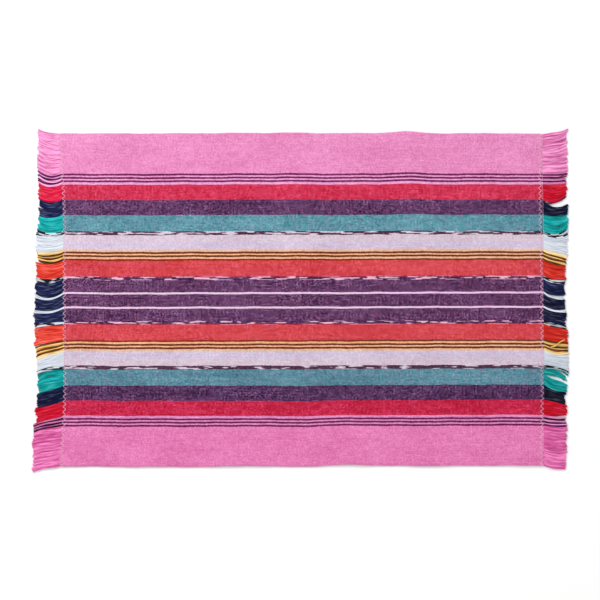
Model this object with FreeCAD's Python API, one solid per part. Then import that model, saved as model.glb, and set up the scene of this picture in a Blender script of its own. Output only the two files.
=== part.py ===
import FreeCAD, Part
import math
import os

# Striped flat-weave mat with a fringe at both short ends, in millimetres.
#
# X runs along the warp yarns, Y across them, +Z up. The origin is on the floor, under the middle of the mat.
# Each coloured band of the cloth is one solid, and so is each strand of the fringe. A zigzag stitch holds each
# short end: a needle thread on top and a bobbin thread underneath, both pressed into a thinner strip of cloth.

os.makedirs("parts", exist_ok=True)

# Cloth
CLOTH_WIDTH = 500.0  # over both selvedges
BODY_LENGTH = 722.0  # woven part, without the fringes
CLOTH_THICKNESS = 2.6
WARP_PITCH = 1.425  # from one warp yarn to the next
WEFT_YARN = 1.3  # diameter of the yarn that turns at the selvedges

# Fringe
FRINGE_LEFT = 39.0
FRINGE_RIGHT = 35.0
STRAND_PITCH = 5.6  # warp yarns lie together in strands of about four
STRAND_GAP = 0.9  # between two strands at their roots
STRAND_HEIGHT = 1.8
STRAND_TAPER = 0.75  # width of a strand's tip over the width of its root
CORNER_FLARE = 6.0  # how far the outermost strand leans out past the selvedge
FLARE_START = 35.0  # distance from the selvedge at which strands begin to lean

# Zigzag stitch
STITCH_WIDTH = 5.5  # between the thread's centre lines, from tooth to tooth
STITCH_PITCH = 7.8  # one full zig and zag
THREAD_WIDTH = 1.1
THREAD_HEIGHT = 0.6
STITCH_MARGIN = 0.6  # cloth beyond the thread on each side

# Warp yarns in each band
MIDDLE_YARNS = 13
HALF_BANDS = (  # from the middle strip out to the border, which takes the rest of the width
    ("white_line", 2),
    ("navy_inner", 13),
    ("ikat_inner", 4),
    ("coral", 16),
    ("gold_brown", 12),
    ("white", 15),
    ("ikat_outer", 5),
    ("teal", 16),
    ("navy_outer", 16),
    ("red", 16),
    ("pinstripe", 12),
)
TUFTS = (  # name of a fringe tuft, and the last band that runs out into it
    ("navy", "ikat_inner"),
    ("coral", "coral"),
    ("gold", "gold_brown"),
    ("white", "ikat_outer"),
    ("teal", "teal"),
    ("navy_outer", "navy_outer"),
    ("red", "red"),
    ("pink", "pink_border"),
)

# Worked out from the sizes above
LENGTH = FRINGE_LEFT + BODY_LENGTH + FRINGE_RIGHT
BODY_LEFT = FRINGE_LEFT - LENGTH / 2
BODY_RIGHT = BODY_LEFT + BODY_LENGTH
CLOTH_EDGE = CLOTH_WIDTH / 2 - WEFT_YARN / 2  # where the outermost warp yarn ends and the weft turns begin
SEGMENT_SLOPE = math.atan2(STITCH_WIDTH, STITCH_PITCH / 2)  # of a stitch, from the Y axis
THREAD_HALF_X = THREAD_WIDTH / 2 / math.cos(SEGMENT_SLOPE)  # half the thread's width, measured along X
STITCH_STRIP = STITCH_WIDTH + 2 * THREAD_HALF_X + 2 * STITCH_MARGIN


def save(node, solids):
    """Write one node: a solid, or several separate ones."""
    shape = solids[0] if len(solids) == 1 else Part.makeCompound(solids)
    shape.exportStep(f"parts/{node}.step")


def prism(points, direction):
    """The solid that a flat outline sweeps along a straight direction."""
    outline = Part.makePolygon([*points, points[0]])
    return Part.Face(outline).extrude(direction)


def band_edges():
    """Each band's name with its inner and outer distance from the centre line, for one half."""
    inner = MIDDLE_YARNS * WARP_PITCH / 2
    edges = []
    for name, yarns in HALF_BANDS:
        outer = inner + yarns * WARP_PITCH
        edges.append((name, inner, outer))
        inner = outer
    edges.append(("pink_border", inner, CLOTH_EDGE))
    return edges


def band(low_y, high_y):
    """Cloth between two warp yarns, thinner at both ends where the zigzag stitch presses it."""
    step_left, step_right = BODY_LEFT + STITCH_STRIP, BODY_RIGHT - STITCH_STRIP
    low, high = THREAD_HEIGHT, CLOTH_THICKNESS - THREAD_HEIGHT
    side_view = (
        (BODY_LEFT, low),
        (step_left, low),
        (step_left, 0),
        (step_right, 0),
        (step_right, low),
        (BODY_RIGHT, low),
        (BODY_RIGHT, high),
        (step_right, high),
        (step_right, CLOTH_THICKNESS),
        (step_left, CLOTH_THICKNESS),
        (step_left, high),
        (BODY_LEFT, high),
    )
    points = [FreeCAD.Vector(x, low_y, z) for x, z in side_view]
    return prism(points, FreeCAD.Vector(0, high_y - low_y, 0))


def make_bands():
    half_middle = MIDDLE_YARNS * WARP_PITCH / 2
    save("navy_middle", [band(-half_middle, half_middle)])
    for name, inner, outer in band_edges():
        back, front = band(inner, outer), band(-outer, -inner)
        if name == "white_line":
            save("white_lines", [back, front])
        else:
            save(f"{name}_back", [back])
            save(f"{name}_front", [front])


def make_weft_turns():
    """The half-round row of weft turns along each selvedge, between the two stitched strips."""
    radius = WEFT_YARN / 2
    up = FreeCAD.Vector(0, 0, radius)
    rows = []
    for side in (-1, 1):
        centre = FreeCAD.Vector(BODY_LEFT + STITCH_STRIP, side * CLOTH_EDGE, CLOTH_THICKNESS / 2)
        outermost = centre + FreeCAD.Vector(0, side * radius, 0)
        bulge = Part.Arc(centre - up, outermost, centre + up).toShape()
        flat = Part.LineSegment(centre + up, centre - up).toShape()
        end_face = Part.Face(Part.Wire([bulge, flat]))
        rows.append(end_face.extrude(FreeCAD.Vector(BODY_LENGTH - 2 * STITCH_STRIP, 0, 0)))
    save("weft_turns", rows)


def strand(root_x, tip_x, root_y, width):
    """One strand of fringe, lying on the floor and leaning outwards near a corner of the mat."""
    into_flare = max(0, 1 - (CLOTH_EDGE - abs(root_y)) / FLARE_START)
    tip_y = root_y + math.copysign(CORNER_FLARE * into_flare**2, root_y)
    half_root, half_tip = width / 2, width * STRAND_TAPER / 2
    outline = (
        (root_x, root_y - half_root),
        (tip_x, tip_y - half_tip),
        (tip_x, tip_y + half_tip),
        (root_x, root_y + half_root),
    )
    points = [FreeCAD.Vector(x, y, 0) for x, y in outline]
    return prism(points, FreeCAD.Vector(0, 0, STRAND_HEIGHT))


def tuft(root_x, tip_x, low_y, high_y):
    """The strands of one colour, evenly spaced over the width of their bands."""
    count = max(1, round((high_y - low_y) / STRAND_PITCH))
    pitch = (high_y - low_y) / count
    return [strand(root_x, tip_x, low_y + (i + 0.5) * pitch, pitch - STRAND_GAP) for i in range(count)]


def make_fringe(side, root_x, tip_x):
    outer_edge = {name: outer for name, inner, outer in band_edges()}
    inner = -outer_edge["ikat_inner"]  # the middle tuft spans the centre line
    for name, last_band in TUFTS:
        outer = outer_edge[last_band]
        if name == "navy":
            save(f"fringe_{side}_navy_middle", tuft(root_x, tip_x, inner, outer))
        else:
            save(f"fringe_{side}_{name}_back", tuft(root_x, tip_x, inner, outer))
            save(f"fringe_{side}_{name}_front", tuft(root_x, tip_x, -outer, -inner))
        inner = outer


def zigzag(centre_x, low_z):
    """One thread of the zigzag stitch, from selvedge to selvedge."""
    teeth = 2 * max(1, round(2 * CLOTH_EDGE / STITCH_PITCH))
    step = 2 * CLOTH_EDGE / teeth
    line = [(centre_x + STITCH_WIDTH / 2 * (-1) ** i, -CLOTH_EDGE + i * step) for i in range(teeth + 1)]
    one_side = [FreeCAD.Vector(x - THREAD_HALF_X, y, low_z) for x, y in line]
    other_side = [FreeCAD.Vector(x + THREAD_HALF_X, y, low_z) for x, y in reversed(line)]
    return prism(one_side + other_side, FreeCAD.Vector(0, 0, THREAD_HEIGHT))


def make_stitches(side, centre_x):
    save(f"needle_thread_{side}", [zigzag(centre_x, CLOTH_THICKNESS - THREAD_HEIGHT)])
    save(f"bobbin_thread_{side}", [zigzag(centre_x, 0)])


make_bands()
make_weft_turns()
make_fringe("left", BODY_LEFT, -LENGTH / 2)
make_fringe("right", BODY_RIGHT, LENGTH / 2)
make_stitches("left", BODY_LEFT + STITCH_STRIP / 2)
make_stitches("right", BODY_RIGHT - STITCH_STRIP / 2)
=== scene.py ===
import math
import random

import bpy
import numpy as np
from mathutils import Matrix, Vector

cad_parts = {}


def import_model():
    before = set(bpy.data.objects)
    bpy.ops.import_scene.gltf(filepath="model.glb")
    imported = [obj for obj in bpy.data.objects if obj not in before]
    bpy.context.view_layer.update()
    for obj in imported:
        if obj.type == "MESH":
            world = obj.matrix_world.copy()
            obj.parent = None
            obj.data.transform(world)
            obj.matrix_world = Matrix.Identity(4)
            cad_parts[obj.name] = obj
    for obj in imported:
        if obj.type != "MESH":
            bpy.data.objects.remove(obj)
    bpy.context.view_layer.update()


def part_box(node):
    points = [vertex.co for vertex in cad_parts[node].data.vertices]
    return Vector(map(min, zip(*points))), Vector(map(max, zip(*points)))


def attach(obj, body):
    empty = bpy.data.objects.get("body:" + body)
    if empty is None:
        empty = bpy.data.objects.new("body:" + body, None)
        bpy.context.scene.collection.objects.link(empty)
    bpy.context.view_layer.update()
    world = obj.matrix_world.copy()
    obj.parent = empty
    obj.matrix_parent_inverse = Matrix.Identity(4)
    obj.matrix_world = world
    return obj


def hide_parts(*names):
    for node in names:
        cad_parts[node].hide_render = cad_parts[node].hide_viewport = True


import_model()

# A striped cotton mat, plain-woven, lying flat. The warp yarns run along X and come out at both ends as the
# fringe. Everything is in metres unless a comment says mm. A place on the flat cloth is (x, y, z), and lay()
# tells where it is on the real one, which has been washed and shaken out, so its stripes wander a little.

MM = 0.001


def span(*nodes):
    """Lowest and highest corner of the box around some CAD nodes."""
    boxes = [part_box(node) for node in nodes]
    return np.min([low for low, high in boxes], axis=0), np.max([high for low, high in boxes], axis=0)


# ---- sizes, from the frame and the cloth's own count of yarns

(BODY_LEFT, _, _), (BODY_RIGHT, CLOTH_EDGE, THICKNESS) = span("pink_border_back")
MIDDLE_YARNS = 13
WARP_PITCH = float(span("navy_middle")[1][1]) * 2 / MIDDLE_YARNS
WEFT_PITCH = 1.3 * MM
YARN_RADIUS = 0.92 * MM
WEFT_RADIUS = 0.55 * MM
STITCH_LOW, STITCH_HIGH = span("needle_thread_left")
STITCH_STRIP = 2 * float((STITCH_LOW[0] + STITCH_HIGH[0]) / 2 - BODY_LEFT)  # pressed thin by the stitch
STITCH_WIDTH = 4.8 * MM
STITCH_PITCH = 7.8 * MM  # one full zig and zag
THREAD_RADIUS = 0.24 * MM
MID_HEIGHT = THICKNESS / 2
COLUMNS = 240  # of faces along the cloth, 3 mm each

# Each colour of the warp yarns, sRGB. In the cloth the pink weft shows between them and softens them.
DYES = {
    "pink": "E088BA",
    "rose": "E498C8",
    "plum": "620648",
    "red": "C40024",
    "navy": "0B1440",
    "teal": "12919A",
    "white": "D0C7D2",
    "lilac": "CBC6DA",
    "gold": "EAAE84",
    "cream": "DCBAA6",
    "ecru": "D6C4C8",
    "brown": "602A00",
    "shell": "E8CCE6",
    "coral": "CB331E",
    "ikat": "221A2C",
    "ikat_rose": "160E3C",
    "ikat_coral": "92142A",
}
PALE = ("white", "lilac", "shell", "ecru", "cream")  # light comes through these, so their shadows are faint
# The front half has darker colours: painted shade for the light that falls off from the back of the mat to
# its front.
SHADED_FRONT_DYES = {**DYES, "pink": "E27AB2", "rose": "DC88BC", "plum": "5C003E", "red": "BE002E", "teal": "008690"}
# Outside the cloth, in the open and without the pink weft beside them, some of them look brighter.
FRINGE_DYES = {
    **DYES,
    "pink": "EE98CA",
    # The deeper pink that follows is painted shade, for the front corner tufts.
    "shaded_pink": "EE84C0",
    "rose": "F0A6D2",
    "plum": "66185A",
    "red": "EA2A58",
    "navy": "121A46",
    "teal": "16B2B2",
    "white": "D9DFE8",
    "lilac": "DAE0E9",
    "shell": "E2E6EE",
    "gold": "EABE6E",
    "cream": "EAD6AC",
    "ecru": "DEDFE2",
    "brown": "5C2E0A",
    "coral": "F05C4C",
}
WEFT_DYE = "E283B7"
THREAD_DYE = "FCD6EC"
# The pale colour of the painted highlights on the fringe yarns.
HIGHLIGHT_COLOUR = "E0E4F8"
# Space-dyed yarns: the light colour of their dashes.
IKATS = {"ikat": "D2CAD8", "ikat_rose": "EABAD0", "ikat_coral": "DC90A6"}

# The warp colours of each band of the cloth from its inner edge outwards: (colour, share of its width).
WARPS = {
    "pink_border": (("pink", 1),),
    "pinstripe": (("rose", 5), ("plum", 4), ("rose", 3), ("plum", 4), ("rose", 3), ("plum", 4), ("pink", 1)),
    "red": (("red", 1),),
    "navy_outer": (("navy", 1),),
    "teal": (("teal", 1),),
    "ikat_outer": (("ikat", 4), ("teal", 1)),
    "white": (("ecru", 1), ("lilac", 7), ("white", 7)),
    "gold_brown": (
        ("coral", 1), ("brown", 3), ("gold", 4), ("brown", 4), ("gold", 3), ("brown", 4), ("gold", 2),
        ("cream", 3),
    ),
    "coral": (("coral", 1),),
    "ikat_inner": (("ikat_rose", 3), ("ikat_coral", 1)),
    "navy_inner": (("navy", 1),),
    "white_line": (("shell", 1),),
    "navy_middle": (("navy", 1),),
}


# ---- how the cloth lies

def swell(t, centre, reach):
    """A smooth hump of height 1."""
    return np.exp(-(((t - centre) / reach) ** 2))


# Where the stripes swing sideways: centre and reach along X, then the swing in mm at the back edge, on the
# centre line and at the front edge.
SWINGS = (
    (0.300, 0.170, -0.2, 1.1, 2.0),
    (0.155, 0.028, 2.6, 0.2, 0.6),
    (0.350, 0.030, -0.9, 0.2, 0.2),
    (0.075, 0.045, 0.2, 0.0, 3.0),
    (-0.020, 0.030, 0.9, 0.3, 0.0),
    (-0.080, 0.035, 0.4, 0.0, 1.5),
    (-0.255, 0.060, -0.4, -0.5, 0.2),
    (-0.340, 0.040, -0.2, 0.2, 0.8),
    (0.000, 0.900, 0.0, 0.0, 1.1),
)
# Low ridges across the cloth: centre along X, reach, height in mm at the back and at the front edge.
RIDGES = (
    (0.155, 0.022, 1.5, 0.1),
    (0.088, 0.026, 0.1, 1.3),
    (-0.305, 0.020, 0.8, 0.1),
    (-0.120, 0.030, 0.5, 0.7),
    (0.330, 0.026, 0.9, 0.5),
)
# How far the two ends are pulled along X: centre and reach along Y, and the pull in mm.
PULLS_LEFT = ((0.250, 0.080, -6.0), (-0.250, 0.050, -3.5), (-0.130, 0.060, 0.9), (-0.060, 0.130, 1.3))
PULLS_RIGHT = ((0.200, 0.090, -1.6), (-0.120, 0.120, 0.9))
PULL_REACH = 0.055  # into the cloth from its end


def across(y, back, front):
    """A value that goes from front to back across the cloth."""
    share = np.clip((y + CLOTH_EDGE) / (2 * CLOTH_EDGE), 0, 1)
    return front + (back - front) * share


def lay(x, y, z):
    """Moves places on the flat cloth to where they are on the real one."""
    edge = np.clip(np.abs(y) / CLOTH_EDGE, 0, 1)  # 0 on the centre line, 1 at a selvedge
    side = 0
    for at, reach, back, middle, front in SWINGS:
        side = side + swell(x, at, reach) * (middle + (np.where(y > 0, back, front) - middle) * edge**1.5)
    side = side - 1.2 * swell(y, -0.150, 0.045) * swell(x, -0.010, 0.140)
    # Small waves everywhere, and larger ones along the selvedges.
    side = side + 0.25 * np.sin(x * 71 + y * 9) + 0.15 * np.sin(x * 163 + y * 23 + 1)
    lift = sum(swell(x, at, reach) * across(y, back, front) for at, reach, back, front in RIDGES)
    lift = lift + 0.12 * (1 + np.sin(x * 57 + 2 * np.sin(y * 31))) + 0.1 * (1 + np.sin(y * 83 + x * 19))
    lift = lift + 0.5 * edge**8 * (1 + np.sin(x * 44 + np.sign(y)))
    along = 0
    for end_x, pulls in ((BODY_LEFT, PULLS_LEFT), (BODY_RIGHT, PULLS_RIGHT)):
        pulled = sum(pull * swell(y, at, reach) for at, reach, pull in pulls)
        along = along + pulled * swell(x, end_x, PULL_REACH)
    return np.stack([x + along * MM, y + side * MM, z + lift * MM], axis=-1)


# The cloth's thickness as a share of what it is in the middle.
PRESSED = 0.54  # under the zigzag stitch
RAW_END = 0.20  # in the last millimetre
SELVEDGE = 0.78


def half_thickness(x, y):
    """Half the cloth's thickness: less under the zigzag stitch and at its end, round at the selvedges."""
    from_end = np.minimum(x - BODY_LEFT, BODY_RIGHT - x)
    t = np.clip((from_end - 0.3 * STITCH_STRIP) / (0.9 * STITCH_STRIP), 0, 1)
    pressed = PRESSED + (1 - PRESSED) * t * t * (3 - 2 * t) - (PRESSED - RAW_END) * (from_end < 1 * MM)
    from_edge = np.clip((CLOTH_EDGE - np.abs(y)) / WARP_PITCH, 0, 1)
    return MID_HEIGHT * pressed * (SELVEDGE + (1 - SELVEDGE) * np.sqrt(from_edge))


# ---- materials

def linear(code):
    """An sRGB hex colour as linear RGBA."""
    parts = [int(code[i : i + 2], 16) / 255 for i in (0, 2, 4)]
    return (*[c / 12.92 if c <= 0.04045 else ((c + 0.055) / 1.055) ** 2.4 for c in parts], 1.0)


def add(tree, kind, inputs=None, **settings):
    """Adds a node with its settings, and sets or links its inputs."""
    node = tree.nodes.new("ShaderNode" + kind)
    for key, value in settings.items():
        setattr(node, key, value)
    for key, value in (inputs or {}).items():
        if isinstance(value, bpy.types.NodeSocket):
            tree.links.new(value, node.inputs[key])
        else:
            node.inputs[key].default_value = value
    return node


def new_material(name, roughness, sheen):
    """A cotton surface: rough, with the soft bloom that loose fibres give it."""
    material = bpy.data.materials.new(name)
    material.use_nodes = True
    shader = material.node_tree.nodes["Principled BSDF"]
    shader.inputs["Roughness"].default_value = roughness
    shader.inputs["IOR"].default_value = 1.5
    shader.inputs["Specular IOR Level"].default_value = 0.1
    shader.inputs["Sheen Weight"].default_value = sheen
    shader.inputs["Sheen Roughness"].default_value = 0.45
    return material, material.node_tree, shader


def streaks(tree, place, per_x, per_y, low, high):
    """Shades from low to high in streaks, given how many there are in a metre each way."""
    stretched = add(tree, "Mapping", {"Vector": place, "Scale": (per_x, per_y, 1)}).outputs[0]
    noise = add(tree, "TexNoise", {"Vector": stretched, "Scale": 1.0, "Detail": 2.0}, noise_dimensions="2D")
    shades = {"From Min": 0.25, "From Max": 0.75, "To Min": low, "To Max": high}
    return add(tree, "MapRange", {"Value": noise.outputs[0], **shades}).outputs[0]


DASH_PITCH = 58 * MM  # along a space-dyed yarn, from one light dash to the next
DASH_LAG = 1.9  # from one yarn to the next, in radians of that pitch


def ikat(tree, x, y):
    """Space-dyed yarns: 1 in the light dashes, which start later on each yarn and have ends that bleed."""
    row = add(tree, "Math", {0: y, 1: WARP_PITCH}, operation="DIVIDE").outputs[0]
    row = add(tree, "Math", {0: row}, operation="FLOOR").outputs[0]
    late = add(tree, "Math", {0: row, 1: DASH_LAG}, operation="MULTIPLY").outputs[0]
    pace = 2 * math.pi / DASH_PITCH
    turn = add(tree, "Math", {0: x, 1: pace, 2: late}, operation="MULTIPLY_ADD").outputs[0]
    beat = add(tree, "Math", {0: turn}, operation="SINE").outputs[0]
    step = add(tree, "Math", {0: row, 1: 0.55}, operation="MULTIPLY").outputs[0]
    along = add(tree, "Math", {0: x, 1: 1 / (24 * MM)}, operation="MULTIPLY").outputs[0]
    place = add(tree, "CombineXYZ", {"X": along, "Y": step}).outputs[0]
    noise = add(tree, "TexNoise", {"Vector": place, "Scale": 1.0, "Detail": 1.0}, noise_dimensions="2D")
    value = add(tree, "Math", {0: beat, 1: 0.085, 2: noise.outputs[0]}, operation="MULTIPLY_ADD").outputs[0]
    # The front half of the mat has fewer light dashes.
    front = add(tree, "Math", {0: y, 1: 0.0}, operation="LESS_THAN").outputs[0]
    value = add(tree, "Math", {0: front, 1: -0.05, 2: value}, operation="MULTIPLY_ADD").outputs[0]
    return add(tree, "MapRange", {"Value": value, "From Min": 0.52, "From Max": 0.60}).outputs[0]


def before(colours, i):
    """How much of a band's width lies inside its colour number i."""
    return sum(share for colour, share in colours[:i]) / sum(share for colour, share in colours)


def dash_colour(colour):
    """The light colour of a space-dyed yarn, or for a plain yarn nothing at all, with an alpha of 0."""
    return linear(IKATS[colour]) if colour in IKATS else (0, 0, 0, 0)


def warp_colour(tree, x, y, bands, dyes):
    """The colour of the warp yarn at a place, and how far it hides the weft, from the bands of one panel.

    A band is its inner edge, its outer edge and its colours.
    """
    inner, outer = min(b[0] for b in bands), max(b[1] for b in bands)
    stops = []
    for low, high, colours in sorted(bands):
        for i, (colour, share) in enumerate(colours):
            stops.append((low + (high - low) * before(colours, i), colour))
    distance = add(tree, "Math", {0: y}, operation="ABSOLUTE").outputs[0]
    share = add(tree, "MapRange", {"Value": distance, "From Min": inner, "From Max": outer}).outputs[0]
    plain = add(tree, "ValToRGB", {"Fac": share})
    light = add(tree, "ValToRGB", {"Fac": share})
    for ramp, colour_of in ((plain, lambda c: linear(dyes[c])), (light, dash_colour)):
        ramp.color_ramp.interpolation = "CONSTANT"
        elements = ramp.color_ramp.elements
        while len(elements) > 1:
            elements.remove(elements[-1])
        for i, (start, colour) in enumerate(stops):
            element = elements[0] if i == 0 else elements.new((start - inner) / (outer - inner))
            element.position = (start - inner) / (outer - inner)
            element.color = colour_of(colour)
    if not any(colour in IKATS for start, colour in stops):
        return plain.outputs["Color"], None
    space_dyed = light.outputs["Alpha"]
    dashes = add(tree, "Math", {0: space_dyed, 1: ikat(tree, x, y)}, operation="MULTIPLY").outputs[0]
    both = {6: plain.outputs["Color"], 7: light.outputs["Color"]}
    colour = add(tree, "Mix", {0: dashes, **both}, data_type="RGBA").outputs[2]
    return colour, add(tree, "Math", {0: space_dyed, 1: 0.4}, operation="MULTIPLY").outputs[0]


def woven(name, bands, dyes, weft_share, fluff_and_shade):
    """Cotton yarn, dyed before weaving, in a plain weave: ribs of warp, with dots of the pink weft between.

    weft_share is how much of the weft shows, and fluff_and_shade how strongly the loose fibres and the
    painted shade of low ridges change the colour.
    """
    material, tree, shader = new_material(name, 0.85, 0.0)
    flat = add(tree, "UVMap", uv_map="cloth").outputs[0]
    # The yarns aren't perfectly straight or evenly spaced.
    noise = add(tree, "TexNoise", {"Vector": flat, "Scale": 260.0, "Detail": 1.0}, noise_dimensions="2D")
    wander = noise.outputs[1]
    shift = add(tree, "VectorMath", {0: wander, 1: (0.5, 0.5, 0.5)}, operation="SUBTRACT").outputs[0]
    shift = add(tree, "VectorMath", {0: shift, "Scale": 0.6 * WARP_PITCH}, operation="SCALE").outputs[0]
    place = add(tree, "VectorMath", {0: flat, 1: shift}, operation="ADD").outputs[0]
    parts = add(tree, "SeparateXYZ", {0: place})
    x, y = parts.outputs[0], parts.outputs[1]
    # rib is 1 on the crown of a warp yarn and 0 between two. over is 1 where the warp passes over the weft
    # and -1 where it passes under.
    turn_x = add(tree, "Math", {0: x, 1: math.pi / WEFT_PITCH}, operation="MULTIPLY").outputs[0]
    turn_y = add(tree, "Math", {0: y, 1: math.pi / WARP_PITCH}, operation="MULTIPLY").outputs[0]
    wave_x = add(tree, "Math", {0: turn_x}, operation="SINE").outputs[0]
    wave_y = add(tree, "Math", {0: turn_y}, operation="COSINE").outputs[0]
    over = add(tree, "Math", {0: wave_x, 1: wave_y}, operation="MULTIPLY").outputs[0]
    rib = add(tree, "Math", {0: wave_y}, operation="ABSOLUTE").outputs[0]
    # Thick and thin places in the weft, and flecks all over, change how much of the weft is seen.
    slub = streaks(tree, flat, 0.5 / WEFT_PITCH, 60, 0.6, 1.4)
    fleck = streaks(tree, flat, 380, 420, 0.4, 1.6)
    least, most = 0.045 * weft_share, 0.32 * weft_share
    shows = {"Value": over, "From Min": -1.0, "From Max": 0.45, "To Min": most, "To Max": least}
    weft_shows = add(tree, "MapRange", shows, interpolation_type="SMOOTHSTEP").outputs[0]
    for patch in (slub, fleck):
        weft_shows = add(tree, "Math", {0: weft_shows, 1: patch}, operation="MULTIPLY").outputs[0]
    warp, hidden = warp_colour(tree, x, y, bands, dyes)
    if hidden:
        kept = add(tree, "Math", {0: 1.0, 1: hidden}, operation="SUBTRACT").outputs[0]
        weft_shows = add(tree, "Math", {0: weft_shows, 1: kept}, operation="MULTIPLY").outputs[0]
    # How much lint stands up, with painted shade of low ridges in the largest patches. Single fibres are too
    # fine to show, so the finest tufts are 2.5 mm apart.
    lint_and_shade = 1.0
    for per_x, per_y, change in (
        (3, 0.8 / WARP_PITCH, 0.02 + 0.14 * fluff_and_shade),  # from yarn to yarn of the warp
        (75, 0.62 / WARP_PITCH, 0.42 * fluff_and_shade),  # along a yarn
        (0.55 / WEFT_PITCH, 110, 0.03 + 0.12 * fluff_and_shade),  # from pick to pick
        (400, 430, fluff_and_shade),  # tufts of fibres
        (110, 140, 0.03 + 0.28 * fluff_and_shade),  # patches of 8 mm
        # Painted shade of low ridges, in the patches of 50 mm.
        (14, 30, 0.04 + 0.18 * fluff_and_shade),  # patches of 50 mm
    ):
        patch = streaks(tree, flat, per_x, per_y, 1 - change, 1 + change)
        lint_and_shade = add(tree, "Math", {0: lint_and_shade, 1: patch}, operation="MULTIPLY").outputs[0]
    if name.endswith("navy_middle"):
        # The lint of the navy yarns hardly shows on the pale ones that lie among them.
        pale = add(tree, "RGBToBW", {0: warp}).outputs[0]
        less = {"Value": pale, "From Min": 0.1, "From Max": 0.5, "To Min": 1.0, "To Max": 0.25}
        even = add(tree, "MapRange", less).outputs[0]
        lint_and_shade = add(tree, "Math", {0: lint_and_shade, 1: even}, operation="POWER").outputs[0]
    # Where fibres stand up they scatter the light, and the colour is paler there. Elsewhere it is deeper.
    depth = add(tree, "Math", {0: lint_and_shade, 1: -0.8}, operation="POWER").outputs[0]
    glow = add(tree, "Math", {0: lint_and_shade, 1: 0.5}, operation="POWER").outputs[0]
    # Painted shade between the warp yarns, deepest in the grooves.
    rib_groove_shade = add(tree, "MapRange", {"Value": rib, "From Max": 0.8, "To Min": 0.7, "To Max": 1.03}).outputs[0]
    shade = add(tree, "Math", {0: rib_groove_shade, 1: glow}, operation="MULTIPLY").outputs[0]
    colour = add(tree, "Mix", {0: weft_shows, 6: warp, 7: linear(WEFT_DYE)}, data_type="RGBA").outputs[2]
    colour = add(tree, "Gamma", {"Color": colour, "Gamma": depth}).outputs[0]
    colour = add(tree, "VectorMath", {0: colour, "Scale": shade}, operation="SCALE").outputs[0]
    tree.links.new(colour, shader.inputs["Base Color"])
    crown = add(tree, "Math", {0: rib, 1: 0.55}, operation="MULTIPLY").outputs[0]
    height = add(tree, "Math", {0: over, 1: 0.3, 2: crown}, operation="MULTIPLY_ADD").outputs[0]
    bump = add(tree, "Bump", {"Height": height, "Strength": 0.6, "Distance": 0.4 * MM}).outputs[0]
    tree.links.new(bump, shader.inputs["Normal"])
    return material


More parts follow.
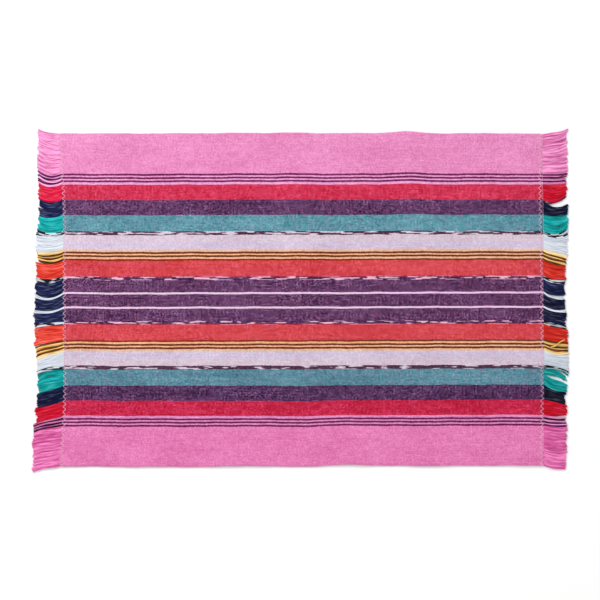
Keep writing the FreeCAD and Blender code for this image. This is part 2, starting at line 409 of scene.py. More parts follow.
def spun(name, dye, dashes=None, depth=0.28, painted_highlight=0.04, deepest=1.9):
    """Cotton yarn of two plies twisted together: slanting grooves 1.6 mm apart, with painted shade in them,
    and painted highlights.

    depth is how much its painted shade varies along it, painted_highlight how strong its painted highlights
    are, and deepest how far its colour deepens in shadow.
    """
    material, tree, shader = new_material(name, 0.8, 0.05)
    parts = add(tree, "SeparateXYZ", {0: add(tree, "UVMap", uv_map="yarn").outputs[0]})
    around, along = parts.outputs[0], parts.outputs[1]
    turns = add(tree, "Math", {0: along, 1: 1 / (3.2 * MM), 2: around}, operation="MULTIPLY_ADD").outputs[0]
    angle = add(tree, "Math", {0: turns, 1: 2 * math.pi}, operation="MULTIPLY").outputs[0]
    ply = add(tree, "Math", {0: angle}, operation="SINE").outputs[0]
    ply = add(tree, "Math", {0: ply}, operation="ABSOLUTE").outputs[0]
    # Painted shade in the grooves between the two plies.
    ply_groove_shade = add(tree, "MapRange", {"Value": ply, "From Max": 0.6, "To Min": 0.72, "To Max": 1.02}).outputs[0]
    own_shade = add(tree, "Attribute", attribute_name="shade").outputs["Fac"]
    at = add(tree, "Math", {0: own_shade, 1: 900.0}, operation="MULTIPLY").outputs[0]
    colour = linear(dye)
    if dashes:
        place = add(tree, "Math", {0: along, 1: 1 / (26 * MM), 2: at}, operation="MULTIPLY_ADD").outputs[0]
        noise = add(tree, "TexNoise", {"W": place, "Scale": 1.0, "Detail": 0.0}, noise_dimensions="1D")
        bleeding = {"Value": noise.outputs[0], "From Min": 0.48, "From Max": 0.54}
        white = add(tree, "MapRange", bleeding).outputs[0]
        colour = add(tree, "Mix", {0: white, 6: linear(dye), 7: linear(dashes)}, data_type="RGBA").outputs[2]
    # Painted light and shade along the yarn: here and there the fibres stand up in the light, or the yarn
    # lies in a shadow between two others.
    place = add(tree, "Math", {0: along, 1: 1 / (24 * MM), 2: at}, operation="MULTIPLY_ADD").outputs[0]
    noise = add(tree, "TexNoise", {"W": place, "Scale": 1.0, "Detail": 1.0}, noise_dimensions="1D")
    patchy = noise.outputs[0]
    shading = {"From Min": 0.3, "From Max": 0.7, "To Min": 1 - depth, "To Max": 1 + 0.7 * depth}
    patch = add(tree, "MapRange", {"Value": patchy, **shading}).outputs[0]
    shade = add(tree, "Math", {0: own_shade, 1: patch}, operation="MULTIPLY").outputs[0]
    # Light bounces from yarn to yarn there, so their shadows are deeper in colour and not greyer.
    deepening = {"From Min": 0.3, "From Max": 1.1, "To Min": deepest, "To Max": 0.95}
    power = add(tree, "MapRange", {"Value": shade, **deepening}).outputs[0]
    colour = add(tree, "Gamma", {"Color": colour, "Gamma": power}).outputs[0]
    shade = add(tree, "Math", {0: shade, 1: 0.5}, operation="POWER").outputs[0]
    shade = add(tree, "Math", {0: ply_groove_shade, 1: shade}, operation="MULTIPLY").outputs[0]
    # Painted highlights: where the noise is high the colour turns pale, as if lint caught the light.
    highlight_range = {"Value": patchy, "From Min": 0.5, "From Max": 0.8, "To Max": painted_highlight}
    lift = add(tree, "MapRange", highlight_range).outputs[0]
    lit = add(tree, "Mix", {0: lift, 6: colour, 7: linear(HIGHLIGHT_COLOUR)}, data_type="RGBA").outputs[2]
    scaled = add(tree, "VectorMath", {0: lit, "Scale": shade}, operation="SCALE")
    tree.links.new(scaled.outputs[0], shader.inputs["Base Color"])
    bump = add(tree, "Bump", {"Height": ply, "Strength": 0.5, "Distance": 0.25 * MM}).outputs[0]
    tree.links.new(bump, shader.inputs["Normal"])
    return material


# ---- the cloth

def deselect():
    """Leaves edit mode and selects nothing, ready for the next operator."""
    if bpy.context.mode != "OBJECT":
        bpy.ops.object.mode_set(mode="OBJECT")
    bpy.ops.object.select_all(action="DESELECT")


def uv_map(mesh, name, values):
    """Adds a UV map with a value for each face corner."""
    layer = mesh.uv_layers.new(name=name, do_init=False)
    layer.uv.foreach_set("vector", np.asarray(values, np.float32).ravel())


def corner_arrays(mesh):
    """For each face corner: its vertex's place and its face's centre and normal."""
    vertex, place = np.empty(len(mesh.loops), int), np.empty(3 * len(mesh.vertices))
    mesh.loops.foreach_get("vertex_index", vertex)
    mesh.vertices.foreach_get("co", place)
    count = np.empty(len(mesh.polygons), int)
    centre, normal = np.empty(3 * len(count)), np.empty(3 * len(count))
    mesh.polygons.foreach_get("loop_total", count)
    mesh.polygons.foreach_get("center", centre)
    mesh.polygons.foreach_get("normal", normal)
    spread = np.repeat(np.arange(len(count)), count)
    return place.reshape(-1, 3)[vertex], centre.reshape(-1, 3)[spread], normal.reshape(-1, 3)[spread]


def folded_map(place, centre, normal, width):
    """A texture layout for a long strip of cloth, cut into lanes that lie one above another."""
    length = BODY_RIGHT - BODY_LEFT
    gap = 1.2 * MM
    lane_height = 2 * (width + THICKNESS) + 4 * gap
    lanes = max(n for n in (1, 2, 3, 4, 5, 6) if n == 1 or n * n * lane_height <= 1.35 * length)
    lane_length = length / lanes
    lane = np.clip(((centre[:, 0] - BODY_LEFT) / lane_length).astype(int), 0, lanes - 1)
    u = (place[:, 0] - BODY_LEFT - lane * lane_length) / lane_length
    low_y = place[:, 1].min()
    across_width, up = place[:, 1] - low_y, place[:, 2]
    top, under = normal[:, 2] > 0.5, normal[:, 2] < -0.5
    back = normal[:, 1] > 0.5
    v = np.select(
        [top, under, back],
        [across_width, width + gap + across_width, 2 * (width + gap) + up],
        2 * (width + gap) + gap + THICKNESS + up,
    )
    ends = np.abs(normal[:, 0]) > 0.5
    total = lanes * lane_height + 3 * THICKNESS
    v = v + lane * lane_height
    u = np.where(ends, 0.05 + 0.9 * across_width / width, u)
    v = np.where(ends, lanes * lane_height + np.where(normal[:, 0] > 0, 0, 1.5 * THICKNESS) + up, v)
    margin = 0.003
    return margin + (1 - 2 * margin) * np.stack([u, v / total], axis=-1)


def smooth(piece, angle):
    """Smooth shading, except at edges sharper than an angle in degrees."""
    deselect()
    piece.select_set(True)
    bpy.context.view_layer.objects.active = piece
    bpy.ops.object.shade_smooth_by_angle(angle=math.radians(angle))


def cloth_panel(name, low_y, high_y):
    """A strip of the cloth between two warp yarns, cut flat, given its thickness and laid down."""
    width = high_y - low_y
    rows = max(4, round(width / WARP_PITCH))
    deselect()
    bpy.ops.mesh.primitive_grid_add(x_subdivisions=COLUMNS, y_subdivisions=rows, size=1)
    piece = bpy.context.object
    piece.name = piece.data.name = name
    bpy.ops.object.mode_set(mode="EDIT")
    bpy.ops.transform.resize(value=(BODY_RIGHT - BODY_LEFT, width, 1))
    bpy.ops.transform.translate(value=((BODY_LEFT + BODY_RIGHT) / 2, (low_y + high_y) / 2, 0))
    bpy.ops.mesh.extrude_region_move(TRANSFORM_OT_translate={"value": (0, 0, THICKNESS)})
    bpy.ops.mesh.select_all(action="SELECT")
    bpy.ops.mesh.normals_make_consistent(inside=False)
    bpy.ops.object.mode_set(mode="OBJECT")
    mesh = piece.data
    while mesh.uv_layers:
        mesh.uv_layers.remove(mesh.uv_layers[0])
    place, centre, normal = corner_arrays(mesh)
    uv_map(mesh, "cloth", place[:, :2])
    uv_map(mesh, "OFBake", folded_map(place, centre, normal, width))
    flat = np.empty(3 * len(mesh.vertices))
    mesh.vertices.foreach_get("co", flat)
    x, y, z = flat.reshape(-1, 3).T
    height = MID_HEIGHT + np.sign(z - MID_HEIGHT) * half_thickness(x, y)
    mesh.vertices.foreach_set("co", lay(x, y, height).ravel())
    mesh.update()
    smooth(piece, 55)
    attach(piece, "root")
    return piece


# ---- yarns and threads

def plain_yarn(sides, segments):
    """One straight yarn along X from 0 to 1, of radius 1, with a rounded tip: the start of every strand."""
    deselect()
    bpy.ops.mesh.primitive_cylinder_add(vertices=sides, radius=1, depth=1, end_fill_type="NGON")
    yarn = bpy.context.object
    bpy.ops.object.mode_set(mode="EDIT")
    bpy.ops.transform.rotate(value=math.pi / 2, orient_axis="Y", center_override=(0, 0, 0))
    bpy.ops.transform.translate(value=(0.5, 0, 0))
    for i in range(1, segments):
        bpy.ops.mesh.select_all(action="SELECT")
        bpy.ops.mesh.bisect(plane_co=(i / segments, 0, 0), plane_no=(1, 0, 0))
    bpy.ops.object.mode_set(mode="OBJECT")
    mesh = yarn.data
    while mesh.uv_layers:
        mesh.uv_layers.remove(mesh.uv_layers[0])
    return yarn


def strands(name, routes, radii, materials, shades, wears=None, sides=6, segments=10, waver=0.0, seed=1):
    """Many yarns in one piece. A route is the four control points of a Bezier curve that a yarn follows.

    wears is each yarn's number in materials, and waver how far a yarn strays from its route.
    """
    yarn = plain_yarn(sides, segments)
    yarn.name = yarn.data.name = name
    mesh = yarn.data
    per_yarn = len(mesh.vertices)
    straight = np.empty(3 * per_yarn)
    mesh.vertices.foreach_get("co", straight)
    straight = straight.reshape(-1, 3)
    place, centre, normal = corner_arrays(mesh)
    corners, faces = len(mesh.loops), len(mesh.polygons)
    # The place round the yarn, cut along a line on its underside.
    around = (np.arctan2(place[:, 2], place[:, 1]) / (2 * math.pi) + 0.25) % 1
    middle = (np.arctan2(centre[:, 2], centre[:, 1]) / (2 * math.pi) + 0.25) % 1
    around = np.where(around - middle > 0.5, around - 1, np.where(middle - around > 0.5, around + 1, around))
    along = place[:, 0]
    caps = np.abs(normal[:, 0]) > 0.5
    count = len(routes)
    several = yarn.modifiers.new("copies", "ARRAY")
    several.use_relative_offset = False
    several.use_constant_offset = True
    several.constant_offset_displace = (0, 0, 3)
    several.count = count
    deselect()
    yarn.select_set(True)
    bpy.context.view_layer.objects.active = yarn
    bpy.ops.object.modifier_apply(modifier="copies")

    routes = np.asarray(routes, float)
    t = straight[:, 0]
    weights = np.stack([(1 - t) ** 3, 3 * t * (1 - t) ** 2, 3 * t * t * (1 - t), t**3], axis=-1)
    slopes = np.stack(
        [-3 * (1 - t) ** 2, 3 * (1 - t) ** 2 - 6 * t * (1 - t), 6 * t * (1 - t) - 3 * t * t, 3 * t * t],
        axis=-1,
    )
    line = np.einsum("vk,nkc->nvc", weights, routes)
    way = np.einsum("vk,nkc->nvc", slopes, routes)
    way /= np.linalg.norm(way, axis=-1, keepdims=True)
    side = np.cross([0.0, 0.0, 1.0], way)
    side /= np.maximum(np.linalg.norm(side, axis=-1, keepdims=True), 1e-9)
    up = np.cross(way, side)
    if waver:
        chance = np.random.default_rng(seed)
        phase, pace = chance.uniform(0, 6.28, (count, 2, 1)), chance.uniform(4, 11, (count, 2, 1))
        free = np.clip(t * 4, 0, 1)
        line += side * (waver * free * np.sin(pace[:, 0] * t + phase[:, 0]))[..., None]
        line += up * (0.5 * waver * free * (1 + np.sin(pace[:, 1] * t + phase[:, 1])))[..., None]
    thick = np.asarray(radii, float).reshape(-1, 1)
    ring = thick[..., None] * (side * straight[:, 1, None] + up * straight[:, 2, None])
    mesh = yarn.data
    mesh.vertices.foreach_set("co", (line + ring).ravel())
    length = np.linalg.norm(np.diff(routes, axis=1), axis=-1).sum(axis=1)
    number = np.repeat(np.arange(count), corners)
    tiled_along, tiled_around, tiled_caps = (np.tile(a, count) for a in (along, around, caps))
    uv_map(mesh, "yarn", np.stack([tiled_around, tiled_along * length[number]], axis=-1))
    lane = 1 / count
    u = (number + 0.08 + 0.84 * np.clip(tiled_around, 0, 1)) * lane
    v = 0.02 + 0.96 * tiled_along + np.where(tiled_caps, 0.008 * (tiled_around - 0.5), 0)
    uv_map(mesh, "OFBake", np.stack([u, v], axis=-1))
    shade = mesh.attributes.new("shade", "FLOAT", "POINT")
    shade.data.foreach_set("value", np.repeat(np.asarray(shades, float), per_yarn).astype(np.float32))
    for material in materials:
        mesh.materials.append(material)
    if wears is not None:
        mesh.polygons.foreach_set("material_index", np.repeat(np.asarray(wears), faces).astype(np.int32))
    mesh.update()
    smooth(yarn, 60)
    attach(yarn, "root")
    return yarn


# ---- the fringe

# The tufts of the fringe at each end, from the back selvedge to the front one. A row is the tuft's name, the
# bands whose yarns run out into it, how far its back edge drifts sideways halfway and at the tip, the same
# for its front edge, the X where it is cut, all in mm, and how bright it lies.
LEFT_TUFTS = (
    ("pink_back", ("pink_border",), 2.0, 7.5, -2.0, 6.5, -393.5, 1.18),
    ("pink_back", ("pinstripe",), -2.2, 6.7, -3.9, 3.1, -393.5, 1.15),
    ("red_back", ("red",), -3.9, 2.5, -4.0, 2.2, -393.0, 0.87),
    ("navy_outer_back", ("navy_outer",), -4.0, 1.8, -4.2, -2.0, -391.6, 1.35),
    ("teal_back", ("teal",), -4.2, -1.6, -3.0, 2.4, -393.0, 1.05),
    ("white_back", ("ikat_outer", "white"), -3.0, 2.4, -4.6, -4.6, -395.5, 1.05),
    ("gold_back", ("gold_brown",), -4.6, -4.6, -5.4, -1.4, -394.5, 1.0),
    ("coral_back", ("coral",), -5.4, -1.4, -4.5, -2.4, -395.7, 0.95),
    ("navy_middle", ("ikat_inner", "navy_inner"), -4.5, -2.4, -8.0, -3.0, -397.0, 1.05),
    ("navy_middle", ("white_line_back",), -9.0, -1.0, -9.0, -6.0, -398.5, 1.0),
    ("navy_middle", ("navy_middle",), -8.5, -6.0, -7.0, -6.0, -398.0, 1.15),
    ("navy_middle", ("white_line_front",), -6.5, -5.0, -6.9, -7.5, -399.0, 1.0),
    ("navy_middle", ("navy_inner", "ikat_inner"), -6.0, -6.5, -2.4, -4.2, -399.0, 1.2),
    ("coral_front", ("coral",), -2.4, -4.2, -3.6, -9.6, -398.0, 0.95),
    ("gold_front", ("gold_brown",), -3.6, -9.6, -6.5, -12.9, -395.3, 1.35),
    ("white_front", ("white", "ikat_outer"), -6.5, -12.9, -1.5, -9.0, -394.6, 0.92),
    ("teal_front", ("teal",), -1.5, -9.0, -7.0, -12.9, -392.7, 0.92),
    ("navy_outer_front", ("navy_outer",), -7.0, -12.9, -6.6, -11.0, -394.0, 0.7),
    ("red_front", ("red",), -6.6, -11.0, -5.2, -12.3, -396.6, 0.68),
    ("pink_front", ("pinstripe",), -5.2, -12.3, -3.3, -9.0, -400.0, 0.7),
    ("pink_front", ("pink_border",), -3.3, -9.0, -4.0, -8.4, -400.5, 0.97),
)
RIGHT_TUFTS = (
    ("pink_back", ("pink_border",), 3.1, 9.5, 0.0, 2.6, 396.8, 1.05),
    ("pink_back", ("pinstripe",), 0.0, 2.6, 0.0, 1.5, 396.0, 0.9),
    ("red_back", ("red",), 0.0, 1.5, -4.0, 6.5, 396.4, 0.72),
    ("navy_outer_back", ("navy_outer",), -11.0, -6.0, -2.2, 0.5, 397.6, 0.5),
    ("teal_back", ("teal",), -2.2, 1.0, -5.5, 2.6, 398.2, 0.98),
    ("white_back", ("ikat_outer", "white"), -5.5, 2.6, -5.5, -11.0, 397.6, 0.96),
    ("gold_back", ("gold_brown",), -5.5, -11.0, -6.6, -10.0, 395.4, 1.45),
    ("coral_back", ("coral",), -6.6, -10.0, -6.7, -5.8, 395.2, 0.63),
    ("navy_middle", ("ikat_inner", "navy_inner"), -6.7, -5.8, -6.8, -6.5, 393.5, 1.05),
    ("navy_middle", ("white_line_back",), -7.5, -8.4, -7.5, -9.4, 394.2, 1.0),
    ("navy_middle", ("navy_middle",), -7.0, -9.0, -5.8, -6.2, 394.2, 0.6),
    ("navy_middle", ("white_line_front",), -6.2, -5.8, -6.2, -6.6, 395.2, 1.0),
    ("navy_middle", ("navy_inner", "ikat_inner"), -5.4, -6.4, -5.0, -8.4, 395.6, 0.75),
    ("coral_front", ("coral",), -5.0, -8.4, -4.2, -5.4, 397.3, 0.6),
    ("gold_front", ("gold_brown",), -4.2, -5.4, -7.0, -6.0, 398.5, 1.25),
    ("white_front", ("white", "ikat_outer"), -7.0, -7.0, -1.2, -10.3, 398.9, 0.8),
    ("teal_front", ("teal",), -1.2, -10.3, -9.3, -11.2, 397.0, 0.9),
    ("navy_outer_front", ("navy_outer",), -9.3, -11.2, -3.0, -8.7, 394.5, 0.3),
    ("red_front", ("red",), -3.0, -8.7, -1.6, -0.7, 396.4, 0.68),
    ("pink_front", ("pinstripe",), -2.6, -3.0, -1.9, -1.9, 395.4, 1.0),
    ("pink_front", ("pink_border",), -1.9, -1.9, -4.6, -6.0, 395.8, 0.95),
)
# Where a tuft has parted: after which share of its width, and by how many mm halfway and at the tip.
PARTINGS = {("right", "teal_front"): (0.3, 5.5, 6.5), ("left", "navy_outer_back"): (0.45, 0.0, 1.5)}
# Stray yarns, as routes on the flat cloth in mm, with their colours.
STRAYS = {
    ("right", "gold_front"): (
        ((373, -69.5, 3.5), (381, -69.5, 4.5), (385, -62, 4.5), (393.4, -58.8, 2.5)),
        "gold",
    ),
    ("right", "red_back"): (
        ((364, 146.5, 2.0), (372, 143.0, 2.0), (385, 146.0, 1.5), (396.0, 155.5, 1.0)),
        "plum",
    ),
}
BUNCH_SIZES = (3, 3, 4, 4, 5)  # yarns that hang together
GATHERINGS = (0.0, 0.0, 0.05, 0.1)  # how far the yarns of a bunch close up halfway, as a share of its width
LOW_YARN_ASIDE = 0.7 * WARP_PITCH  # of the low yarn between two bunches
LOW_YARN_LIGHT = 0.62
PALE_SHADOW = 0.45  # of a pale yarn, as a share of what it is on another
ROOT_INSETS = {"left": 2.6 * MM, "right": 0.6 * MM}  # how far inside the cloth's end the yarns begin


def half_bands():
    """The inner and outer distance from the centre line of every band in one half of the cloth."""
    found = {}
    for band in WARPS:
        if band == "navy_middle":
            found[band] = (0.0, float(span(band)[1][1]))
        elif band == "white_line":
            found[band] = (float(span("navy_middle")[1][1]), float(span("white_lines")[1][1]))
        else:
            low, high = span(f"{band}_back")
            found[band] = (float(low[1]), float(high[1]))
    return found


BANDS = half_bands()


def yarns_of(band, back):
    """Each warp yarn of a band as (y on the flat cloth, its colour), for the back half or the front half."""
    inner, outer = BANDS[band]
    if band == "navy_middle":
        inner = -outer
    colours = WARPS[band]
    count = round((outer - inner) / WARP_PITCH)
    side = 1 if back else -1
    found = []
    for i in range(count):
        place = (i + 0.5) / count
        colour = [c for j, (c, share) in enumerate(colours) if before(colours, j) <= place][-1]
        found.append((side * (inner + place * (outer - inner)), colour))
    return found


def is_back(row, end):
    """Whether a row of the tables of tufts lies behind the centre line."""
    rows = LEFT_TUFTS if end == "left" else RIGHT_TUFTS
    middle = [r[1] for r in rows].index(("navy_middle",))
    return rows.index(row) < middle


def tuft_routes(rng, row, end):
    """The route, colour and shade of each yarn in one row of the tables of tufts."""
    name, bands, back_mid, back_tip, front_mid, front_tip, cut, bright = row
    parted, part_mid, part_tip = PARTINGS.get((end, name), (1.0, 0.0, 0.0))
    yarns = []
    for band in bands:
        half = band.removesuffix("_back").removesuffix("_front")
        back = band.endswith("_back") or (not band.endswith("_front") and is_back(row, end))
        yarns += yarns_of(half, back)
    yarns.sort(reverse=True)
    high, low = yarns[0][0], yarns[-1][0]
    out = -1 if end == "left" else 1
    root_x = (BODY_LEFT if end == "left" else BODY_RIGHT) - out * ROOT_INSETS[end]
    found = []
    left_in_bunch = 0
    for y, colour in yarns:
        if left_in_bunch == 0:
            bunch = left_in_bunch = rng.choice(BUNCH_SIZES)
            bunch_y = y - WARP_PITCH * (bunch - 1) / 2
            bunch_mid, bunch_tip = rng.gauss(0, 0.25), rng.gauss(0, 0.5)
            bunch_cut, bunch_shade = rng.gauss(0, 0.8), bright * rng.uniform(0.82, 1.14)
            bunch_high, gather = rng.uniform(0.2, 0.9), rng.choice(GATHERINGS)
        left_in_bunch -= 1
        share = (high - y) / max(high - low, WARP_PITCH)
        mid = back_mid + (front_mid - back_mid) * share + bunch_mid + rng.gauss(0, 0.15)
        tip = back_tip + (front_tip - back_tip) * share + bunch_tip + rng.gauss(0, 0.35)
        if share > parted:
            mid -= part_mid * (1 - share) / (1 - parted)
            tip -= part_tip * (1 - share) / (1 - parted)
        to_bunch = (bunch_y - y) / MM
        mid, tip = mid + gather * to_bunch, tip + 0.8 * gather * to_bunch
        end_x = (cut + bunch_cut * out + rng.gauss(0, 0.6)) * MM
        root = lay(root_x, y, MID_HEIGHT)
        reach = end_x - root[0]
        floor_z = YARN_RADIUS
        # A bunch is round: its outer yarns lie on the floor, in the shadow of the others.
        outer = min(1.0, 2 * abs(bunch_y - y) / (bunch * WARP_PITCH))
        rise = (1 - outer**2) * (0.5 + bunch_high) + rng.uniform(0, 0.5)
        bunch_dim = 1.08 - (0.5 if end == "left" else 0.6) * outer**4
        dim = bunch_shade * bunch_dim * rng.uniform(0.84, 1.16)
        lying = [(0.0, rise, dim)]
        if left_in_bunch == 0 and y > low:
            # One more yarn lies low where two bunches meet, so the floor hardly shows between them.
            lying.append((LOW_YARN_ASIDE, 0.0, LOW_YARN_LIGHT * bright))
        for aside, height, light in lying:
            away_mid, away_tip = (bunch_mid, bunch_tip) if aside else (0.0, 0.0)
            # How far aside the Bezier handles are, for a yarn that drifts right halfway and at its tip.
            bend = (mid - 0.125 * tip) / 0.75 - (away_mid - 0.125 * away_tip) / 0.75
            root_y = root[1] - aside
            found.append((
                [
                    (root[0], root_y, root[2]),
                    (root[0] + 0.34 * reach, root_y + bend * MM, root[2] + 0.6 * height * MM),
                    (root[0] + 0.68 * reach, root_y + bend * MM, floor_z + height * MM),
                    (end_x - 2 * out * aside, root_y + (tip - away_tip) * MM, floor_z + 0.5 * height * MM),
                ],
                colour,
                1 + (light - 1) * (PALE_SHADOW if colour in PALE else 1),
            ))
    return found


def make_fringe(rows, end, yarn_materials):
    """One piece for each tuft, from the rows of the table that share its name."""
    rng = random.Random(f"fringe {end}")
    pieces = {}
    for name in dict.fromkeys(row[0] for row in rows):
        found = [one for row in rows if row[0] == name for one in tuft_routes(rng, row, end)]
        if (end, name) in STRAYS:
            points, colour = STRAYS[end, name]
            found.append(([(x * MM, y * MM, z * MM) for x, y, z in points], colour, 1.0))
        colours = list(dict.fromkeys(colour for route, colour, shade in found))
        # The front corners are a deeper pink: painted shade for the weaker light at the mat's front.
        worn = [yarn_materials["shaded_pink" if (name, c) == ("pink_front", "pink") else c] for c in colours]
        piece = strands(
            f"tuft_{end}_{name}",
            [route for route, colour, shade in found],
            [YARN_RADIUS * rng.uniform(1.0, 1.14) for one in found],
            worn,
            [shade for route, colour, shade in found],
            wears=[colours.index(colour) for route, colour, shade in found],
            waver=0.26 * MM,
            seed=len(pieces) + 50 * (end == "left"),
        )
        node = f"fringe_{end}_{name}"
        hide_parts(node)
        pieces[name] = piece
    return pieces


# ---- the stitches and the selvedges

SEAM_HEIGHT = 0.72 * MID_HEIGHT  # of the cloth's faces under the stitches, over and under its middle
# A stitch of each kind: the share of its length and the height over that face, in mm, at four points.
NEEDLE_STITCH = ((0.0, -0.35), (0.25, 0.55), (0.75, 0.55), (1.0, -0.35))
BOBBIN_STITCH = ((0.0, 0.35), (0.25, -0.1), (0.75, -0.1), (1.0, 0.35))
SMALL_STITCH = ((0.0, -0.3), (0.3, 0.4), (0.7, 0.4), (1.0, -0.3))
# How far each seam strays along X, in mm: in the front part of the mat and in the back part.
SEAM_DRIFTS = {"left": (-0.8, 1.1), "right": (0.3, -0.7)}
# The small straight stitches, in mm: how many, their length and pitch, and where the first one is.
SMALL_STITCHES, SMALL_LENGTH, SMALL_PITCH, SMALL_START = 58, 0.9, 2.7, 244
# Where the thread's tail lies in loops, in mm.
TAIL_LOOPS = ((364, -240), (369, -239), (375, -241))


def last_stitches():
    """The thread's last stitches, straight along the cloth's right end, and the loops of its tail."""
    routes = []
    for i in range(SMALL_STITCHES):
        x, y = BODY_RIGHT - (1.4 - 0.02 * i) * MM, (SMALL_START - SMALL_PITCH * i) * MM
        routes.append([
            lay(x, y - share * SMALL_LENGTH * MM, MID_HEIGHT + SEAM_HEIGHT + height * MM)
            for share, height in SMALL_STITCH
        ])
    for i, (x, y) in enumerate(TAIL_LOOPS):
        loop = ((x, y - 6, 2.0), (x - 1, y + 2, 3.4), (x + 4, y + 3, 3.4), (x + 5 - i, y - 6, 2.0))
        routes.append([(a * MM, b * MM, c * MM) for a, b, c in loop])
    return routes


def make_stitch(end, under, material):
    """The zigzag thread, one short strand for each stitch, which dives into the cloth at every turn."""
    node = f"{'bobbin' if under else 'needle'}_thread_{end}"
    low, high = span(node)
    centre_x = float(low[0] + high[0]) / 2
    turns = 2 * round((high[1] - low[1]) / STITCH_PITCH)
    step = float(high[1] - low[1]) / turns
    rng = random.Random(f"stitch {end} {under}")
    surface = MID_HEIGHT + (-1 if under else 1) * SEAM_HEIGHT
    holes = []
    for i in range(turns + 1):
        y = float(low[1]) + i * step
        off = float(np.interp(y, (0.03, 0.10), SEAM_DRIFTS[end]))
        holes.append((centre_x + STITCH_WIDTH / 2 * (-1) ** i + (off + rng.gauss(0, 0.12)) * MM, y))
    routes = []
    for (x1, y1), (x2, y2) in zip(holes, holes[1:]):
        routes.append([
            lay(x1 + (x2 - x1) * share, y1 + (y2 - y1) * share, surface + height * MM)
            for share, height in (BOBBIN_STITCH if under else NEEDLE_STITCH)
        ])
    if end == "right" and not under:
        routes += last_stitches()
    piece = strands(
        f"zigzag_{node}",
        routes,
        [THREAD_RADIUS * (0.8 if under else 1)] * turns + [1.15 * THREAD_RADIUS] * (len(routes) - turns),
        [material],
        [rng.uniform(0.92, 1.06) for route in routes],
        segments=5,
    )
    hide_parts(node)
    return piece


TURN_BULGE, TURN_ROOT = 1.05, 0.9  # how far a turn of the weft comes out of the cloth and goes into it, in mm


def make_weft_turns(material):
    """The weft's turns round the outermost warp yarn, one every second pick on each selvedge."""
    start, stop = BODY_LEFT + 0.5 * STITCH_STRIP, BODY_RIGHT - 0.5 * STITCH_STRIP
    count = int((stop - start) / (2 * WEFT_PITCH))
    rng = random.Random("turns")
    routes = []
    for side in (-1, 1):
        for i in range(count):
            x = start + i * 2 * WEFT_PITCH + (WEFT_PITCH if side > 0 else 0)
            half = float(half_thickness(np.array(x), np.array(CLOTH_EDGE))) - 0.3 * MM
            bulge = (TURN_BULGE + rng.gauss(0, 0.1)) * MM
            inside, outside = side * (CLOTH_EDGE - TURN_ROOT * MM), side * (CLOTH_EDGE + bulge)
            routes.append([
                lay(x, inside, MID_HEIGHT + half),
                lay(x + 0.2 * WEFT_PITCH, outside, MID_HEIGHT + half),
                lay(x + 0.8 * WEFT_PITCH, outside, MID_HEIGHT - half),
                lay(x + WEFT_PITCH, inside, MID_HEIGHT - half),
            ])
    piece = strands(
        "selvedge_turns",
        routes,
        [WEFT_RADIUS] * len(routes),
        [material],
        [rng.uniform(0.9, 1.08) for route in routes],
        sides=5,
        segments=5,
    )
    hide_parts("weft_turns")
    return piece


# ---- make everything

# How much lint, and painted shade of low ridges, shows on each panel. It shows most on navy.
LINT_AND_SHADE = {
    "pink_border": 0.15,
    "pinstripe": 0.2,
    "red": 0.26,
    "navy_outer": 0.38,
    "teal": 0.25,
    "white": 0.15,
    "gold_brown": 0.2,
    "coral": 0.18,
    "navy_middle": 0.38,
}
# How much of the weft shows, where it isn't 1: dark stripes a few yarns wide are packed closer.
WEFT_SHARES = {
    "navy_middle": 1.1,
    "gold_brown": 0.2,
    "pinstripe": 0.45,
    # The front halves of the red and outer navy bands show less weft and look deeper: painted shade, like the
    # darker front dyes.
    "red_front": 0.6,
    "navy_outer_front": 0.8,
}
HALF_PANELS = (  # name, its bands, and the tuft that its yarns end in
    ("pink_border", ("pink_border",), "pink"),
    ("pinstripe", ("pinstripe",), "pink"),
    ("red", ("red",), "red"),
    ("navy_outer", ("navy_outer",), "navy_outer"),
    ("teal", ("teal",), "teal"),
    ("white", ("white", "ikat_outer"), "white"),
    ("gold_brown", ("gold_brown",), "gold"),
    ("coral", ("coral",), "coral"),
)
MIDDLE_BANDS = ("navy_middle", "white_line", "navy_inner", "ikat_inner")
MIDDLE_NODES = (
    "navy_middle",
    "white_lines",
    "navy_inner_back",
    "navy_inner_front",
    "ikat_inner_back",
    "ikat_inner_front",
)


EVEN = 0.1  # how much the shade of a pale yarn or a thread varies


def make_yarn_materials():
    """A material for each colour of the fringe yarns. The ikat yarns are all one space-dyed yarn."""
    found = {}
    for colour, dye in FRINGE_DYES.items():
        if colour in IKATS:
            continue
        name = f"two_ply_cotton_{colour}"
        if colour == "navy":
            # Navy yarns get stronger painted highlights and a milder deepening of their shadows.
            found[colour] = spun(name, dye, painted_highlight=0.1, deepest=1.25)
        elif colour in PALE:
            found[colour] = spun(name, dye, depth=EVEN)
        else:
            found[colour] = spun(name, dye)
    space_dyed = spun("two_ply_cotton_space_dyed", DYES["ikat"], dashes=FRINGE_DYES["white"], depth=EVEN)
    return {**found, **{colour: space_dyed for colour in IKATS}}


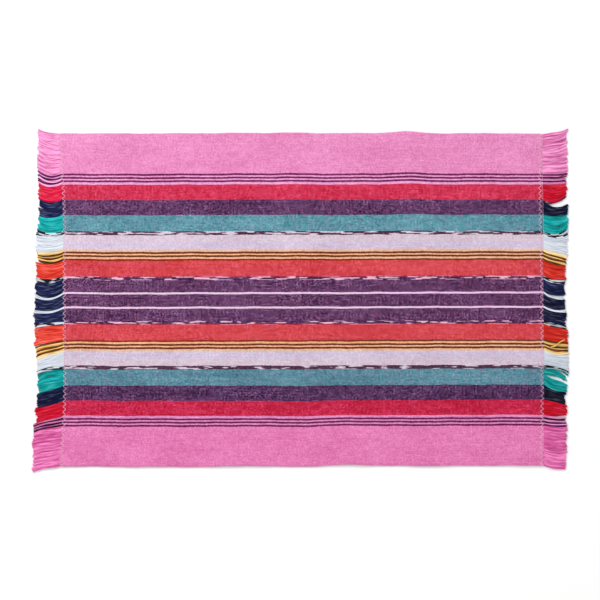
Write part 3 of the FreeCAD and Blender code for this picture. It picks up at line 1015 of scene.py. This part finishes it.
def make_cloth(fringes, turns):
    """Every panel of the cloth, each a strip with its own woven material."""
    for name, bands, tuft in HALF_PANELS:
        edges = [(*BANDS[band], WARPS[band]) for band in bands]
        inner, outer = min(e[0] for e in edges), max(e[1] for e in edges)
        for half, low_y, high_y in (("back", inner, outer), ("front", -outer, -inner)):
            piece = cloth_panel(f"cloth_{name}_{half}", low_y, high_y)
            # The front halves take the darker dyes, which paint the shade of the mat's front.
            dyes = DYES if half == "back" else SHADED_FRONT_DYES
            weft_share = WEFT_SHARES.get(f"{name}_{half}", WEFT_SHARES.get(name, 1.0))
            material = woven(f"plain_woven_cotton_{name}_{half}", edges, dyes, weft_share, LINT_AND_SHADE[name])
            piece.data.materials.append(material)
            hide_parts(*[f"{band}_{half}" for band in bands])
            ends = [fringe[f"{tuft}_{half}"] for fringe in fringes] if name != "pinstripe" else []
            if name == "pink_border" and half == "back":
                ends.append(turns)
    outer = BANDS["ikat_inner"][1]
    edges = [(*BANDS[band], WARPS[band]) for band in MIDDLE_BANDS]
    piece = cloth_panel("cloth_navy_middle", -outer, outer)
    name = "navy_middle"
    material = woven(f"plain_woven_cotton_{name}", edges, DYES, WEFT_SHARES[name], LINT_AND_SHADE[name])
    piece.data.materials.append(material)
    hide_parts(*MIDDLE_NODES)
    ends = [fringe["navy_middle"] for fringe in fringes]


def make_floor():
    """Matt white board under the mat."""
    deselect()
    bpy.ops.mesh.primitive_plane_add(size=12, location=(0, 0, -0.2 * MM))
    floor = bpy.context.object
    floor.name = "floor"
    material = bpy.data.materials.new("matt_white_board")
    material.use_nodes = True
    shader = material.node_tree.nodes["Principled BSDF"]
    shader.inputs["Base Color"].default_value = (0.97, 0.97, 0.97, 1)
    shader.inputs["Roughness"].default_value = 0.9
    shader.inputs["Specular IOR Level"].default_value = 0.0
    floor.data.materials.append(material)


def make_light():
    """A bright white room with one large soft light behind the mat, to its left."""
    world = bpy.data.worlds.new("white_room")
    world.use_nodes = True
    world.node_tree.nodes["Background"].inputs[0].default_value = (1, 1, 1, 1)
    world.node_tree.nodes["Background"].inputs[1].default_value = 0.80
    bpy.context.scene.world = world
    deselect()
    bpy.ops.object.light_add(type="AREA", location=(-0.9, 1.5, 1.7))
    lamp = bpy.context.object
    lamp.data.energy = 33
    lamp.data.shape = "SQUARE"
    lamp.data.size = 1.1
    lamp.rotation_euler = (-lamp.location).to_track_quat("-Z", "Y").to_euler()


def make_camera():
    """Straight above the mat, from well back, so that it shows no perspective."""
    height, across_frame, sensor = 3.0, 0.8976, 36
    deselect()
    bpy.ops.object.camera_add(location=(-0.0019, 0.0006, height), rotation=(0, 0, 0))
    camera = bpy.context.object
    camera.data.lens = sensor * height / across_frame
    camera.data.clip_end = 50
    bpy.context.scene.camera = camera


make_camera()
yarn_materials = make_yarn_materials()
weft = spun("two_ply_cotton_weft", WEFT_DYE)
thread = spun("cotton_sewing_thread", THREAD_DYE, depth=EVEN)
fringes = [make_fringe(LEFT_TUFTS, "left", yarn_materials), make_fringe(RIGHT_TUFTS, "right", yarn_materials)]
stitches = [make_stitch(end, under, thread) for end in ("left", "right") for under in (False, True)]
make_cloth(fringes, make_weft_turns(weft))
make_floor()
make_light()
bpy.context.scene.view_settings.view_transform = "Standard"
